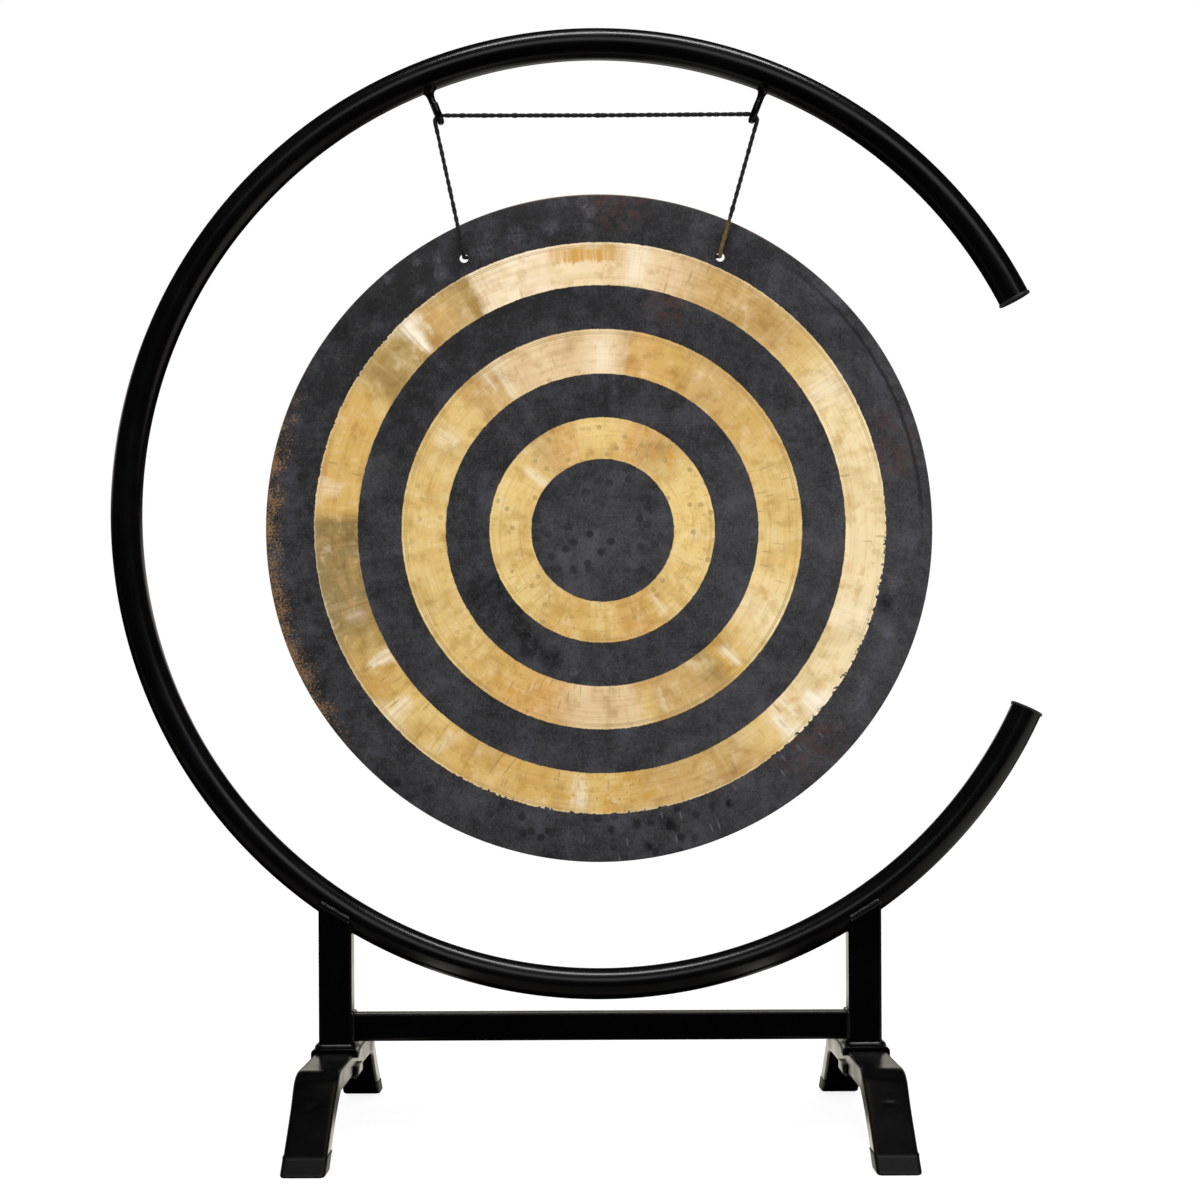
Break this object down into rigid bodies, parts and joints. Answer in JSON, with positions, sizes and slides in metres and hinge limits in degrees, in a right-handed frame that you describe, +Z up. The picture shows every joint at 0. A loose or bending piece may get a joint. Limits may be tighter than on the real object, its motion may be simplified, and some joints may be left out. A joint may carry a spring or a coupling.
{
  "type": "gong stand",
  "caption": "Free-standing gong stand: an open C-shaped tube ring on a braced base with arched legs, and a flat round gong hung on a cord from two hooks.",
  "frame": {"origin": "on the floor, under the middle of the stand's bounding box", "axes": "+Z up; +X to the right, towards the ring's open side; +Y to the back, so that the open hooks face -Y"},
  "size_m": [0.847, 0.5364, 1.0033],
  "materials": {
    "black_paint": "satin black powder coat",
    "black_plastic": "moulded, semi-matt",
    "boot_rubber": "matt, dark grey",
    "zinc_steel": "bright zinc plate",
    "gong_bronze": "charcoal forging scale with lathed, bright bands",
    "cord_fibre": "braided, matt black"
  },
  "bodies": {
    "stand": {"ring_tube": "black_paint", "ring_cap_upper": "black_plastic", "ring_cap_lower": "black_plastic", "hook_left": "black_paint", "hook_right": "black_paint", "upright_left": "black_paint", "upright_right": "black_paint", "crossbar": "black_paint", "saddle_left": "black_paint", "saddle_right": "black_paint", "clamp_channel_left": "black_paint", "clamp_channel_right": "black_paint", "leg_left": "black_paint", "leg_right": "black_paint", "foot_boot_front_left": "boot_rubber", "foot_boot_back_left": "boot_rubber", "foot_boot_front_right": "boot_rubber", "foot_boot_back_right": "boot_rubber", "leg_bolt_left": "zinc_steel", "leg_bolt_right": "zinc_steel", "bolt_washer_left": "zinc_steel", "bolt_washer_right": "zinc_steel", "weld_nut_left": "zinc_steel", "weld_nut_right": "zinc_steel", "cord_bridge": "cord_fibre"},
    "cord_sling": {"cord_drop_left": "cord_fibre", "cord_drop_right": "cord_fibre"},
    "gong": {"gong_disc": "gong_bronze", "cord_back_left": "cord_fibre", "cord_back_right": "cord_fibre", "cord_knot": "cord_fibre"}
  },
  "joints": [
    {"name": "sling_swing", "type": "hinge", "parent": "stand", "child": "cord_sling", "pos_m": [0.0197, -0.00804, 0.9142], "axis": [1, 0, 0], "range_deg": [-25, 25]},
    {"name": "gong_rock", "type": "hinge", "parent": "cord_sling", "child": "gong", "pos_m": [0.0197, -0.008, 0.79345], "axis": [1, 0, 0], "range_deg": [-25, 4]}
  ]
}
